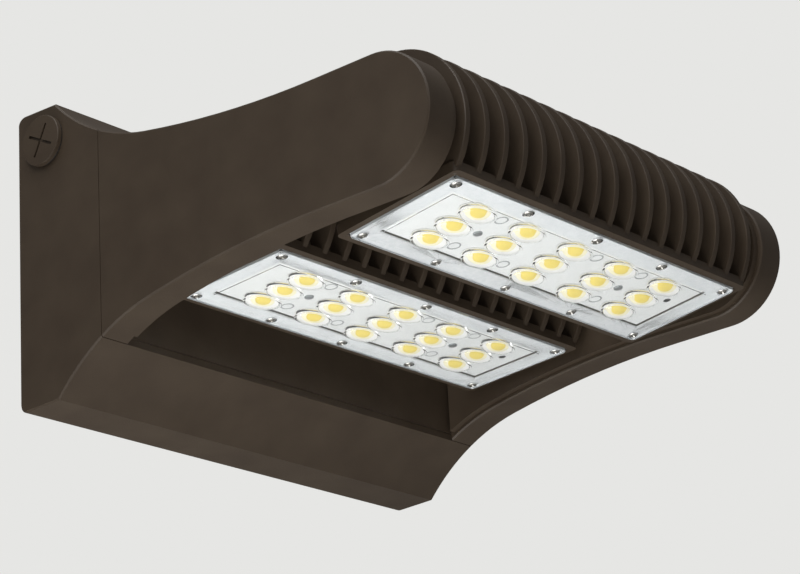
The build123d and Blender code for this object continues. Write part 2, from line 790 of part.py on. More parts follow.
def lens_screws():
    head = (lens_screw_head_radius, lens_screw_head_height)
    screw = Rot(180, 0, 0) * pan_screw(*head, lens_screw_radius, lens_screw_length)
    return [Pos(x, y, lens_z + lens_screw_sink) * screw for x, y in lens_screw_places()]


def board_screws():
    head = (board_screw_head_radius, board_screw_head_height)
    screw = Rot(180, 0, 0) * pan_screw(*head, board_screw_radius, board_screw_length, recess=False)
    return [Pos(x, lens_y, lens_z + board_bottom) * screw for x in (-board_screw_x, board_screw_x)]


def pivot_hub():
    """Right-hand hub: a flange bolted to the end fin and a hollow trunnion."""
    hub = rod(hub_flange_radius, (fin_end_x, 0, 0), (hub_face_x, 0, 0))
    hub += rod(trunnion_radius, (fin_end_x, 0, 0), (fin_end_x + trunnion_length, 0, 0))
    low_x, high_x = fin_end_x - cut_past, hub_face_x + cut_past
    hub -= rod(trunnion_bore_radius, (low_x, 0, 0), (fin_end_x + trunnion_length + cut_past, 0, 0))
    for y, z in hub_screw_places():
        hub -= rod(hub_screw_radius + fit_gap / 2, (low_x, y, z), (high_x, y, z))
        hub -= rod(hub_screw_head_radius + hub_screw_head_gap, (hub_sink_x, y, z), (high_x, y, z))
    return hub


def hub_screws():
    """Flat-head screws sunk in the hubs' flanges."""
    screws = []
    for y, z in hub_screw_places():
        head = rod(hub_screw_head_radius, (hub_sink_x, y, z), (hub_face_x - touch_gap, y, z))
        shank = rod(hub_screw_radius, (hub_sink_x, y, z), (hub_sink_x - hub_screw_length, y, z))
        screws += both_sides(head + shank)
    return screws


def lock_nuts():
    """Hexagon nuts that pull the trunnions up against the arm covers."""
    hexagon = Plane.YZ.offset(nut_inner_x) * RegularPolygon(lock_nut_radius, 6)
    nut = extrude(hexagon, amount=lock_nut_thickness)
    low_x, high_x = nut_inner_x - cut_past, nut_inner_x + lock_nut_thickness + cut_past
    nut -= rod(trunnion_radius + thread_gap, (low_x, 0, 0), (high_x, 0, 0))
    return both_sides(nut)


def friction_washers():
    """Washers that grip between the hubs' flanges and the arm covers."""
    start, end = hub_face_x + touch_gap, cover_face_x
    washer = rod(hub_flange_radius, (start, 0, 0), (end, 0, 0))
    washer -= rod(trunnion_radius + fit_gap, (start - cut_past, 0, 0), (end + cut_past, 0, 0))
    return both_sides(washer)


def cable_gland():
    """Gland on the heatsink's core that seals the lead."""
    low = lens_z + core_top
    gland = extrude(Plane.XY.offset(low) * RegularPolygon(gland_radius, 6), amount=gland_height / 2)
    gland += Pos(0, 0, low + gland_height * 0.75) * Cylinder(gland_radius * 0.75, gland_height / 2)
    bore = Cylinder(lead_radius + lead_gap, gland_height + 2 * cut_past)
    gland -= Pos(0, 0, low + gland_height / 2) * bore
    return Pos(lead_gap_x, 0, 0) * gland


def module_lead():
    """Lead from the right trunnion's bore, through the end fins and down to the board."""
    points = [(lead_end_x, 0, 0), (lead_gap_x, 0, 0), (lead_gap_x, 0, lens_z + board_bottom)]
    path = FilletPolyline(*points, radius=lead_bend)
    return sweep(Plane(origin=points[0], z_dir=(-1, 0, 0)) * Circle(lead_radius), path=path)


def module_nodes():
    """Every piece of one module, keyed by its name without the position prefix."""
    right_hub = pivot_hub()
    return {
        "heatsink": [heatsink()],
        "led_board": [led_board()],
        "leds": leds(),
        "lens_plate": [lens_plate()],
        "lens_gasket": [lens_gasket()],
        "lens_screws": lens_screws(),
        "board_screws": board_screws(),
        "pivot_hub_right": [right_hub],
        "pivot_hub_left": [mirror(right_hub, about=Plane.YZ)],
        "hub_screws": hub_screws(),
        "lock_nuts": lock_nuts(),
        "cable_gland": [cable_gland()],
        "module_lead": [module_lead()],
    }


# ---- Electrical gear ----
def driver_bracket():
    """Sheet bracket on two bosses, with a foot under each end of the driver."""
    half = driver_length / 2 + bracket_margin
    back_y = driver_seat_y + bracket_thickness
    sheet = box_between(
        (-half, driver_seat_y, driver_middle_z - driver_width / 2),
        (half, back_y, driver_middle_z + driver_width / 2),
    )
    for x, z in gear_screw_places()[:2]:
        low, high = (x, driver_seat_y - cut_past, z), (x, back_y + cut_past, z)
        sheet -= rod(gear_screw_radius + fit_gap / 2, low, high)
    return sheet


def led_driver():
    """Potted driver in a rounded case."""
    low = (-driver_length / 2, driver_seat_y - driver_height, driver_middle_z - driver_width / 2)
    high = (driver_length / 2, driver_seat_y, driver_middle_z + driver_width / 2)
    case = box_between(low, high)
    return fillet(case.edges().filter_by(Axis.Y), driver_corner_radius)


def gear_unit(size, place):
    """Moulded unit with a screw ear at each end, standing on two bosses."""
    x, z = place
    half, ear_y = size[0] / 2, gear_seat_y - ear_thickness
    body = box_between(
        (x - half, gear_seat_y - size[1], z - size[2] / 2), (x + half, gear_seat_y, z + size[2] / 2)
    )
    body += box_between(
        (x - half - ear_length, ear_y, z - ear_width / 2),
        (x + half + ear_length, gear_seat_y, z + ear_width / 2),
    )
    for screw_x in (x - half - ear_screw_offset, x + half + ear_screw_offset):
        low, high = (screw_x, ear_y - cut_past, z), (screw_x, gear_seat_y + cut_past, z)
        body -= rod(gear_screw_radius + fit_gap / 2, low, high)
    return body


def gear_screws():
    """Small screws for the bracket, the terminal block and the surge unit."""
    head = (gear_screw_head_radius, gear_screw_head_height)
    short = Rot(90, 0, 0) * pan_screw(*head, gear_screw_radius, bracket_screw_length, recess=False)
    long = Rot(90, 0, 0) * pan_screw(*head, gear_screw_radius, gear_screw_length, recess=False)
    places = gear_screw_places()
    bracket = [Pos(x, driver_seat_y, z) * short for x, z in places[:2]]
    return bracket + [Pos(x, gear_seat_y - ear_thickness, z) * long for x, z in places[2:]]


def terminal_screws():
    """Three clamp screws on the terminal block's front."""
    x, z = block_place
    front = gear_seat_y - block_size[1]
    poles = [x - block_pole_pitch, x, x + block_pole_pitch]
    return [rod(block_screw_radius, (p, front, z), (p, front - block_screw_height, z)) for p in poles]


def ground_screw():
    """Earth screw with its washer on the boss."""
    x, z = ground_screw_place
    head = (ground_head_radius, ground_head_height)
    screw = Rot(90, 0, 0) * pan_screw(*head, ground_screw_radius, ground_screw_length)
    return Pos(x, gear_seat_y, z) * screw


# ---- Wires in the wall box and the arms ----
def supply_wires():
    """Line and neutral from the wall entry to the front row of the terminal block."""
    x, z = block_place
    top = z + block_size[2] / 2
    wires = []
    for n, end_x in enumerate((x - block_pole_pitch, x)):
        start_x, y = wire_step * (n - 1), -(middle_lane + n * wire_step)
        points = [
            (start_x, -wall_seal_depth, -low_wire_drop),
            (start_x, y, -low_wire_drop),
            (end_x, y, top + wire_lift),
            (end_x, y, top),
        ]
        wires.append(wire_run(points, wire_radius))
    return wires


def ground_wire():
    """Earth wire from the wall entry to the earth screw's head."""
    x, z = ground_screw_place
    head_y = gear_seat_y - ground_head_height
    lane_y = head_y - wire_lift
    points = [
        (wire_step, -wall_seal_depth, -low_wire_drop),
        (wire_step, lane_y, -low_wire_drop),
        (x, lane_y, z),
        (x, head_y, z),
    ]
    return wire_run(points, wire_radius)


def driver_input_wires():
    """Pair from the rear row of the terminal block up to the driver's left end."""
    x, z = block_place
    top = z + block_size[2] / 2
    driver_x = -driver_length / 2
    outer_x, outer_y = x - block_pole_pitch, -back_lane
    outer = [
        (outer_x, outer_y, top),
        (outer_x, outer_y, driver_middle_z),
        (driver_x, outer_y, driver_middle_z),
    ]
    lane_x = driver_x - input_lane_gap
    inner_y = -(back_lane + 2 * wire_step)
    inner_z = driver_middle_z - 2 * wire_step
    inner = [
        (x, outer_y, top),
        (x, outer_y, top + wire_lift),
        (lane_x, inner_y, top + 3 * wire_lift),
        (lane_x, inner_y, inner_z),
        (driver_x, inner_y, inner_z),
    ]
    return [wire_run(outer, wire_radius), wire_run(inner, wire_radius)]


def surge_wires():
    """Pair from the surge unit, under the earth screw, to the terminal block's right end."""
    start_x = surge_place[0] - surge_size[0] / 2
    end_x = block_place[0] + block_size[0] / 2
    low_z = ground_screw_place[1] - 2 * wire_step
    wires = []
    for y in (-surge_lane, -surge_lane - wire_step):
        points = [
            (start_x, y, surge_place[1]),
            (start_x - wire_lift, y, surge_place[1]),
            (start_x - 3 * wire_lift, y, low_z),
            (end_x + 2 * wire_lift, y, low_z),
            (end_x + wire_lift, y, block_place[1]),
            (end_x, y, block_place[1]),
        ]
        wires.append(wire_run(points, wire_radius))
    return wires


def arm_lead(pivot, depth, start_z, lane_z):
    """Lead from the driver's right end, through the plate's wire slot, along the arm to a trunnion."""
    y, z = pivot
    start_x, start_y = driver_length / 2, -depth
    slot_x = window_half_x - fit_gap - wire_slot_width / 2
    channel_x = half_width - arm_skin - 2 * arm_lead_radius
    points = [
        (start_x, start_y, start_z),
        (start_x + lead_straight, start_y, start_z),
        (start_x + lead_straight + lead_slope, start_y, (start_z + lane_z) / 2),
        (slot_x, ledge_back_y + lead_clear, lane_z),
        (slot_x, arm_root_y - lead_clear, lane_z),
        (channel_x, arm_root_y - 2 * lead_clear, lane_z),
        (channel_x, y, lane_z),
        (channel_x, y, z),
        (lead_end_x + lead_joint_gap, y, z),
    ]
    return wire_run(points, arm_lead_radius)


def main():
    save("wall_box", wall_box())
    save("wall_seal", wall_seal())
    save("wire_grommet", wire_grommet())
    right_plug, left_plug = both_sides(conduit_plug())
    save("conduit_plug_right", right_plug)
    save("conduit_plug_left", left_plug)
    save("plug_rings", *both_sides(plug_ring()))
    save("front_frame", front_frame())
    save("frame_gasket", frame_gasket())
    save("frame_screws", *frame_screws())
    right_cover, left_cover = both_sides(arm_cover())
    save("arm_cover_right", right_cover)
    save("arm_cover_left", left_cover)
    save("arm_cover_screws", *cover_screws())
    save("driver_bracket", driver_bracket())
    save("led_driver", led_driver())
    save("terminal_block", gear_unit(block_size, block_place))
    save("terminal_screws", *terminal_screws())
    save("surge_protector", gear_unit(surge_size, surge_place))
    save("gear_screws", *gear_screws())
    save("ground_screw", ground_screw())
    save("supply_wires", *supply_wires())
    save("ground_wire", ground_wire())
    save("driver_input_wires", *driver_input_wires())
    save("surge_wires", *surge_wires())
    upper_z, lower_z = driver_middle_z + driver_lead_spread, driver_middle_z - driver_lead_spread
    save("front_arm_lead", arm_lead(front_pivot, front_lead_depth, upper_z, front_lead_lane))
    save("rear_arm_lead", arm_lead(rear_pivot, rear_lead_depth, lower_z, rear_lead_lane))

    pieces = module_nodes()
    washers = []
    for prefix, pivot, tilt in (("front", front_pivot, front_tilt), ("rear", rear_pivot, rear_tilt)):
        place = Pos(0, *pivot) * Rot(-tilt, 0, 0)
        washers += [Pos(0, *pivot) * w for w in friction_washers()]
        for name, solids in pieces.items():
            save(f"{prefix}_{name}", *[place * s for s in solids])
    save("friction_washers", *washers)


main()
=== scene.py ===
# %% [markdown]
# # Wall pack light with two tilting LED modules
# A dark bronze casting hangs on a wall and holds two LED modules between its arms.
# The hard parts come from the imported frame. This script dresses them, models the
# moulded lenses and the LEDs again with more detail, and lights the whole.

# %% Load the frame
import json
import math

import bmesh
import bpy
from mathutils import Matrix, Vector


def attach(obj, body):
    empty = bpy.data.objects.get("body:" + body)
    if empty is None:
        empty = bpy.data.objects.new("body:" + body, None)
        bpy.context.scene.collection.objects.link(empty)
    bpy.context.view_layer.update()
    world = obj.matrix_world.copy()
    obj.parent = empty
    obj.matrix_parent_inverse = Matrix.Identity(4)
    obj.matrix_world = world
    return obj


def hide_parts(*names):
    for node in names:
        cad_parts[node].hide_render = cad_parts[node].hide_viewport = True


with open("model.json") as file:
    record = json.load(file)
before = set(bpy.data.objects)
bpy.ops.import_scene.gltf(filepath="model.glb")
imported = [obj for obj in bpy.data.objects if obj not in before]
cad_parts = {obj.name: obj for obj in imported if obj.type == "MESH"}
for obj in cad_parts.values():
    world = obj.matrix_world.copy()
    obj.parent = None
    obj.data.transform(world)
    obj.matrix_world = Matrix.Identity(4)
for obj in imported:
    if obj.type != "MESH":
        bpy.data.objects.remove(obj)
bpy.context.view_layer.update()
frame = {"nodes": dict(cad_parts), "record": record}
MM = 0.001

# %% [markdown]
# ## Helpers for materials
# Every colour is written as a paint maker would, as an sRGB hex value, and one
# function turns it linear. Pattern scales come from a real size in millimetres,
# because Object coordinates are in metres.


# %% Colours, pattern scales and nodes
def linear(hex_colour):
    """An sRGB hex colour as linear RGBA."""
    parts = [int(hex_colour[i : i + 2], 16) / 255 for i in (1, 3, 5)]
    return (*[c / 12.92 if c <= 0.04045 else ((c + 0.055) / 1.055) ** 2.4 for c in parts], 1.0)


def per_mm(size):
    """Texture scale for a pattern that repeats about every `size` millimetres."""
    return 1.0 / (size * MM)


def add_node(tree, kind, inputs=None, **settings):
    """Adds a node, sets its properties, and fills or links its inputs by name or number."""
    node = tree.nodes.new(kind)
    for key, value in settings.items():
        setattr(node, key, value)
    for key, value in (inputs or {}).items():
        if isinstance(value, bpy.types.NodeSocket):
            tree.links.new(value, node.inputs[key])
        else:
            node.inputs[key].default_value = value
    return node


def new_material(name):
    """A material with only a Principled shader wired to its output."""
    material = bpy.data.materials.new(name)
    material.use_nodes = True
    tree = material.node_tree
    tree.nodes.clear()
    shader = add_node(tree, "ShaderNodeBsdfPrincipled")
    add_node(tree, "ShaderNodeOutputMaterial", {"Surface": shader.outputs["BSDF"]})
    place = add_node(tree, "ShaderNodeTexCoord").outputs["Object"]
    return material, tree, shader, place


def noise(tree, place, size, detail=2.0, roughness=0.5):
    """Noise whose lumps are about `size` millimetres across."""
    settings = {"Vector": place, "Scale": per_mm(size), "Detail": detail, "Roughness": roughness}
    return add_node(tree, "ShaderNodeTexNoise", settings).outputs["Fac"]


def spread(tree, value, low, high):
    """Maps a 0..1 noise, which stays near its middle, to the range low..high."""
    limits = {"Value": value, "From Min": 0.3, "From Max": 0.7, "To Min": low, "To Max": high}
    return add_node(tree, "ShaderNodeMapRange", limits).outputs["Result"]


def blend_colours(tree, factor, dark, light):
    """A mix of two hex colours."""
    inputs = {0: factor, 6: linear(dark), 7: linear(light)}
    return add_node(tree, "ShaderNodeMix", inputs, data_type="RGBA").outputs[2]


def bump(tree, shader, height, depth_mm, normal=None):
    """Relief of about `depth_mm` millimetres on a shader."""
    inputs = {"Height": height, "Distance": depth_mm * MM, "Strength": 1.0}
    if normal is not None:
        inputs["Normal"] = normal
    result = add_node(tree, "ShaderNodeBump", inputs).outputs["Normal"]
    tree.links.new(result, shader.inputs["Normal"])
    return result


def wire_up(tree, shader, **links):
    """Links sockets to the shader's inputs by name, with _ for a space."""
    for key, socket in links.items():
        tree.links.new(socket, shader.inputs[key.replace("_", " ")])


def set_values(shader, **values):
    """Sets constant values on the shader's own sockets."""
    for key, value in values.items():
        shader.inputs[key.replace("_", " ")].default_value = value


# %% [markdown]
# ## Powder coat on cast aluminium
# The housing is die-cast and coated with dark bronze polyester powder. Powder melts
# into a film with a faint orange peel: soft waves about a millimetre and a half
# apart. The eye sees a dull, slightly broken sheen and a colour that is not quite even.


# %% Powder coat
def powder_coat():
    material, tree, shader, place = new_material("polyester_powder_coat_on_cast_aluminium")
    cloud = noise(tree, place, 28.0, detail=4.0)
    colour = blend_colours(tree, spread(tree, cloud, 0.0, 1.0), "#41362B", "#493E32")
    grain = noise(tree, place, 0.7, detail=3.0, roughness=0.6)
    wire_up(tree, shader, Base_Color=colour, Roughness=spread(tree, grain, 0.44, 0.56))
    peel = noise(tree, place, 1.6, detail=2.0)
    waves = bump(tree, shader, peel, 0.03)
    bump(tree, shader, grain, 0.008, waves)
    set_values(shader, Metallic=0.0, IOR=1.5, Specular_IOR_Level=0.3)
    return material


# %% [markdown]
# ## Clear acrylic
# The lens plates are injection-moulded acrylic: glass-clear, polished by the mould,
# with a little flow waviness. Light has to reach the LED board through them, so
# shadow rays pass straight through, which Cycles' glass alone would block.


# %% Acrylic
def clear_acrylic():
    material, tree, shader, place = new_material("injection_moulded_clear_acrylic")
    set_values(shader, Metallic=0.0, IOR=1.49, Transmission_Weight=1.0)
    set_values(shader, Base_Color=linear("#FBFCFC"))
    flow = noise(tree, place, 14.0, detail=2.0)
    wire_up(tree, shader, Roughness=spread(tree, flow, 0.015, 0.05))
    bump(tree, shader, flow, 0.02)
    through = add_node(tree, "ShaderNodeBsdfTransparent", {"Color": linear("#F6F7F7")})
    shadow = add_node(tree, "ShaderNodeLightPath").outputs["Is Shadow Ray"]
    shown = {0: shadow, 1: shader.outputs[0], 2: through.outputs[0]}
    mix = add_node(tree, "ShaderNodeMixShader", shown)
    output = next(n for n in tree.nodes if n.type == "OUTPUT_MATERIAL")
    tree.links.new(mix.outputs[0], output.inputs["Surface"])
    return material


def matt_acrylic_edge():
    """The plate's rim, left matt by the mould's parting line, so it shows as a pale line."""
    material, tree, shader, place = new_material("matt_edge_of_acrylic_moulding")
    grain = noise(tree, place, 0.6, detail=3.0)
    wire_up(tree, shader, Roughness=spread(tree, grain, 0.5, 0.7))
    wire_up(tree, shader, Base_Color=blend_colours(tree, grain, "#C4C9CC", "#D8DCDE"))
    bump(tree, shader, grain, 0.01)
    set_values(shader, Metallic=0.0, IOR=1.49, Transmission_Weight=0.25)
    return material


# %% [markdown]
# ## Metals
# Screws are stainless or zinc plated, hubs are turned aluminium. Each is a metal
# shader whose roughness is streaked at the scale of its finish.


# %% Metals
def metal(name, dark, light, rough_low, rough_high, streak_mm, relief_mm):
    material, tree, shader, place = new_material(name)
    streaks = noise(tree, place, streak_mm, detail=5.0, roughness=0.65)
    colour = blend_colours(tree, spread(tree, streaks, 0.0, 1.0), dark, light)
    wire_up(tree, shader, Base_Color=colour, Roughness=spread(tree, streaks, rough_low, rough_high))
    bump(tree, shader, streaks, relief_mm)
    set_values(shader, Metallic=1.0)
    return material


def stainless_steel():
    return metal("cold_headed_stainless_steel", "#B4B1AB", "#D6D4CF", 0.2, 0.34, 0.8, 0.004)


def zinc_plated_steel():
    return metal("zinc_plated_steel", "#A7ABB0", "#C6C9C9", 0.3, 0.46, 2.5, 0.004)


def turned_aluminium():
    return metal("turned_aluminium", "#BDBEC0", "#D3D4D5", 0.24, 0.38, 0.5, 0.005)


def satin_aluminium():
    return metal("extruded_satin_aluminium", "#C3C5C7", "#D6D7D8", 0.36, 0.5, 1.5, 0.004)


def nickel_plated_brass():
    return metal("nickel_plated_brass", "#B9AE92", "#CFC7B0", 0.22, 0.36, 1.0, 0.003)


# %% [markdown]
# ## Plastics, rubbers and paint
# These are not metals. What tells them apart is how sharp the gloss is and how
# coarse the moulded or foamed texture under it is.


# %% Plastics, rubbers and paint
def moulded(name, dark, light, rough_low, rough_high, grain_mm, relief_mm, ior=1.5):
    material, tree, shader, place = new_material(name)
    grain = noise(tree, place, grain_mm, detail=3.0, roughness=0.55)
    colour = blend_colours(tree, spread(tree, grain, 0.0, 1.0), dark, light)
    wire_up(tree, shader, Base_Color=colour, Roughness=spread(tree, grain, rough_low, rough_high))
    bump(tree, shader, grain, relief_mm)
    set_values(shader, Metallic=0.0, IOR=ior)
    return material


def black_nylon():
    return moulded("moulded_black_nylon", "#141414", "#1C1C1C", 0.45, 0.6, 0.6, 0.01)


def grey_nylon():
    return moulded("moulded_grey_nylon", "#64676A", "#707376", 0.42, 0.58, 0.6, 0.01)


def acetal():
    return moulded("turned_black_acetal", "#161616", "#202020", 0.28, 0.4, 0.9, 0.006)


def green_enamel():
    return moulded("green_enamelled_steel", "#17602B", "#1F7236", 0.3, 0.42, 0.8, 0.006)


def closed_cell_foam():
    return moulded("closed_cell_foam", "#161616", "#262626", 0.8, 0.95, 0.7, 0.12)


def moulded_rubber():
    return moulded("moulded_rubber", "#141414", "#1E1E1E", 0.6, 0.75, 0.5, 0.015)


def grey_silicone():
    return moulded("grey_silicone_rubber", "#7B7B79", "#878785", 0.5, 0.62, 1.2, 0.012, 1.42)


def white_silicone():
    return moulded("white_silicone_rubber", "#DFE2E3", "#ECEDEE", 0.42, 0.55, 3.0, 0.012, 1.42)


def board_lacquer():
    return moulded("white_lacquer_on_aluminium_board", "#ECEDEC", "#F5F5F4", 0.28, 0.4, 2.0, 0.008)


def white_ceramic():
    return moulded("white_led_ceramic", "#F3F2EE", "#FBFAF8", 0.3, 0.4, 0.3, 0.003)


def phosphor():
    return moulded("silicone_over_yellow_phosphor", "#F6DD70", "#FAE88F", 0.16, 0.26, 0.4, 0.006, 1.42)


def thin_phosphor():
    """A cream rim, which stands for the phosphor's blurred edge behind the optic."""
    return moulded("thin_phosphor_rim", "#FBF3CC", "#FCF7DE", 0.2, 0.3, 0.4, 0.004, 1.42)


def grey_ring_material():
    return moulded("grey_ring_marks_on_board", "#8B8D8E", "#A3A5A6", 0.4, 0.5, 0.8, 0.003)


def insulation(name, dark, light):
    return moulded(name, dark, light, 0.34, 0.48, 1.5, 0.008)


# %% Finish of each material slot
FINISHES = {
    "bronze_coat": powder_coat(),
    "bare_aluminium": turned_aluminium(),
    "stainless": stainless_steel(),
    "zinc_steel": zinc_plated_steel(),
    "driver_case": satin_aluminium(),
    "black_plastic": black_nylon(),
    "grey_plastic": grey_nylon(),
    "plated_brass": nickel_plated_brass(),
    "green_steel": green_enamel(),
    "black_foam": closed_cell_foam(),
    "black_rubber": moulded_rubber(),
    "grey_silicone": grey_silicone(),
    "white_silicone": white_silicone(),
    "black_wire": insulation("black_wire_insulation", "#141414", "#1B1B1B"),
    "white_wire": insulation("white_wire_insulation", "#D8D6CE", "#E6E4DE"),
    "red_wire": insulation("red_wire_insulation", "#9A1414", "#AE2020"),
    "green_wire": insulation("green_wire_insulation", "#14602C", "#1E7038"),
    "acetal": acetal(),
    "white_board": board_lacquer(),
    "led_phosphor": phosphor(),
    "clear_acrylic": clear_acrylic(),
}
LED_CERAMIC = white_ceramic()
MATT_EDGE = matt_acrylic_edge()
PHOSPHOR_RIM = thin_phosphor()
RING_GREY = grey_ring_material()

for entry in frame["record"]["subparts"]:
    mesh = frame["nodes"][entry["node"]].data
    mesh.materials.clear()
    mesh.materials.append(FINISHES[entry["material_slot"]])

# %% [markdown]
# ## Modules: where their pieces go
# Both modules are the same. Each piece is modelled once around the pivot axis, with
# the lens plate level, then turned by the module's tilt and moved to its pivot.

# %% Module places
PIVOTS = {"front": (-284.0, 2.0), "rear": (-151.0, 0.5)}  # Y and Z in mm
TILTS = {"front": 7.8, "rear": 3.6}  # degrees, front edge up
LENS_Y, LENS_Z = 5.5, -41.0  # middle of the lens plate's outer face, from the pivot


def seat_in_module(piece, which):
    """Bakes a module's place into a mesh and lets it ride on the module's body."""
    y, z = PIVOTS[which]
    place = Matrix.Translation(Vector((0, y, z)) * MM)
    turn = Matrix.Rotation(math.radians(-TILTS[which]), 4, "X")
    piece.data.transform(place @ turn @ Matrix.Scale(MM, 4))
    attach(piece, f"{which}_module")
    return piece


def finish_mesh(bm, name, material, smooth=True):
    """Turns a bmesh into an object with outward normals and one material."""
    bmesh.ops.recalc_face_normals(bm, faces=bm.faces)
    for face in bm.faces:
        face.smooth = smooth
    mesh = bpy.data.meshes.new(name)
    bm.to_mesh(mesh)
    bm.free()
    mesh.materials.append(material)
    piece = bpy.data.objects.new(name, mesh)
    bpy.context.scene.collection.objects.link(piece)
    return piece


# %% [markdown]
# ## Lens plates
# A lens plate is one moulding: a flat margin for the screws, a slightly raised panel
# over the board, and fifteen oval optics, each a low dome inside a thin collar. The
# plate starts as a bevelled block. Each optic is spun from its profile and stretched
# to an oval, and a boolean joins them, so that light bends at one closed skin only.

# %% Lens plate sizes in mm
PLATE = (280.0, 83.6, 3.0)
PANEL = (253.0, 56.0, 0.3)
PLATE_CORNER = 4.0
PLATE_EDGE, PANEL_EDGE = 0.35, 0.2  # bevels
RIM_WIDTH = 0.5  # how far in from its outline the plate is matt
OPTIC_HALF = (15.0, 8.8)
OPTIC_TOP = 3.0
FOOT_HALF = (13.8, 8.0)  # solid foot of an optic, a stand-in for the real air cavity
FOOT_END = 4.9  # just short of the board
DOME_SHARE = 0.86  # of the optic's width; a groove and the collar take the rest
COLLAR_HEIGHT = 0.3
WELL = (3.7, 1.5)  # radius and depth of the sink round each screw head
SCREW_HOLE = 1.9  # radius
SCREWS = [(66.65 * i, 36.1 * j) for i in range(-2, 3) for j in (-1, 1)]
GRID = [(46.6 * i, 18.6 * j) for i in range(-2, 3) for j in range(-1, 2)]
SPIN_STEPS = 48


def block(bm, size, low_z):
    """A box of length, width and height standing on low_z, centred on the lens plate."""
    made = bmesh.ops.create_cube(bm, size=1.0)["verts"]
    bmesh.ops.scale(bm, verts=made, vec=size)
    bmesh.ops.translate(bm, verts=made, vec=(0, LENS_Y, LENS_Z + low_z + size[2] / 2))
    return made


def round_upright_edges(bm, verts, radius, segments):
    """Bevels the four upright edges of a block."""
    edges = {e for v in verts for e in v.link_edges if abs(e.verts[0].co.z - e.verts[1].co.z) > 0.1}
    bmesh.ops.bevel(
        bm, geom=list(edges), offset=radius, segments=segments, profile=0.5, affect="EDGES", material=-1
    )


def soften(bm, width, segments=2):
    """Bevels every sharp edge."""
    sharp = [e for e in bm.edges if e.is_manifold and e.calc_face_angle() > math.radians(50)]
    bmesh.ops.bevel(
        bm, geom=sharp, offset=width, segments=segments, profile=0.5, affect="EDGES", material=-1
    )


def spun_oval(profile, half):
    """Spins a profile of (radius share, height) about Z and stretches it to an oval solid."""
    bm = bmesh.new()
    verts = [bm.verts.new((r, 0, z)) for r, z in profile]
    edges = [bm.edges.new(pair) for pair in zip(verts, verts[1:])]
    bmesh.ops.spin(
        bm,
        geom=verts + edges,
        cent=(0, 0, 0),
        axis=(0, 0, 1),
        angle=math.tau,
        steps=SPIN_STEPS,
        use_merge=True,
    )
    bmesh.ops.remove_doubles(bm, verts=bm.verts, dist=1e-5)
    bmesh.ops.scale(bm, verts=bm.verts, vec=(*half, 1.0))
    bmesh.ops.recalc_face_normals(bm, faces=bm.faces)
    return bm


def optic_profile():
    """Dome, groove and collar, drawn downwards from the plate's panel."""
    groove = COLLAR_HEIGHT * 0.3
    height = OPTIC_TOP - PANEL[2]
    turns = [i * math.pi / 20 for i in range(11)]
    dome = [(DOME_SHARE * math.sin(a), -groove - height * math.cos(a)) for a in turns]
    top = [(0.9, -COLLAR_HEIGHT), (0.985, -COLLAR_HEIGHT), (1.0, -COLLAR_HEIGHT * 0.6)]
    return dome + top + [(1.0, 1.2), (0.0, 1.2)]


def merged_copies(source, places, offset):
    """One mesh that holds a bmesh's shape at every place of the grid."""
    shape = bpy.data.meshes.new("one")
    source.to_mesh(shape)
    source.free()
    bm = bmesh.new()
    for x, y in places:
        start = len(bm.verts)
        bm.from_mesh(shape)
        bm.verts.ensure_lookup_table()
        bmesh.ops.translate(bm, verts=bm.verts[start:], vec=(x, LENS_Y + y, offset))
    bpy.data.meshes.remove(shape)
    return bm


def boolean(target, tool, operation):
    """Applies an exact boolean to the target and deletes the tool."""
    modifier = target.modifiers.new("join", "BOOLEAN")
    modifier.operation = operation
    modifier.solver = "EXACT"
    modifier.object = tool
    graph = bpy.context.evaluated_depsgraph_get()
    result = bpy.data.meshes.new_from_object(target.evaluated_get(graph))
    target.modifiers.clear()
    target.data = result
    bpy.data.objects.remove(tool)


def matt_rim(piece):
    """Gives the faces of the plate's four outer edges the matt material."""
    piece.data.materials.append(MATT_EDGE)
    for face in piece.data.polygons:
        x, y = abs(face.center.x), abs(face.center.y - LENS_Y)
        if x > PLATE[0] / 2 - RIM_WIDTH or y > PLATE[1] / 2 - RIM_WIDTH:
            face.material_index = 1


# %% Lens plates
def lens_plate(which):
    """The clear moulding of one module, in place of its CAD node."""
    acrylic = FINISHES["clear_acrylic"]
    bm = bmesh.new()
    plate = block(bm, PLATE, 0.0)
    round_upright_edges(bm, plate, PLATE_CORNER, 6)
    soften(bm, PLATE_EDGE)
    piece = finish_mesh(bm, f"{which}_moulded_lens_plate", acrylic, smooth=False)
    bm = bmesh.new()
    block(bm, (PANEL[0], PANEL[1], PANEL[2] + 1.0), -PANEL[2])
    soften(bm, PANEL_EDGE)
    boolean(piece, finish_mesh(bm, "panel", acrylic, smooth=False), "UNION")
    domes = merged_copies(spun_oval(optic_profile(), OPTIC_HALF), GRID, LENS_Z - PANEL[2])
    boolean(piece, finish_mesh(domes, "domes", acrylic), "UNION")
    foot = [(0.0, 2.0), (1.0, 2.0), (1.0, FOOT_END), (0.0, FOOT_END)]
    feet = merged_copies(spun_oval(foot, FOOT_HALF), GRID, LENS_Z)
    boolean(piece, finish_mesh(feet, "feet", acrylic), "UNION")
    radius, depth = WELL
    hole, far = SCREW_HOLE / radius, PLATE[2] + 1.0
    sink = [(0.0, -1.0), (1.0, -1.0), (1.0, depth), (hole, depth), (hole, far), (0.0, far)]
    wells = merged_copies(spun_oval(sink, (radius, radius)), SCREWS, LENS_Z)
    boolean(piece, finish_mesh(wells, "wells", acrylic), "DIFFERENCE")
    matt_rim(piece)
    seat_in_module(piece, which)
    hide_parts(f"{which}_lens_plate")
    print(piece.name, len(piece.data.polygons), "faces")


for which in PIVOTS:
    lens_plate(which)

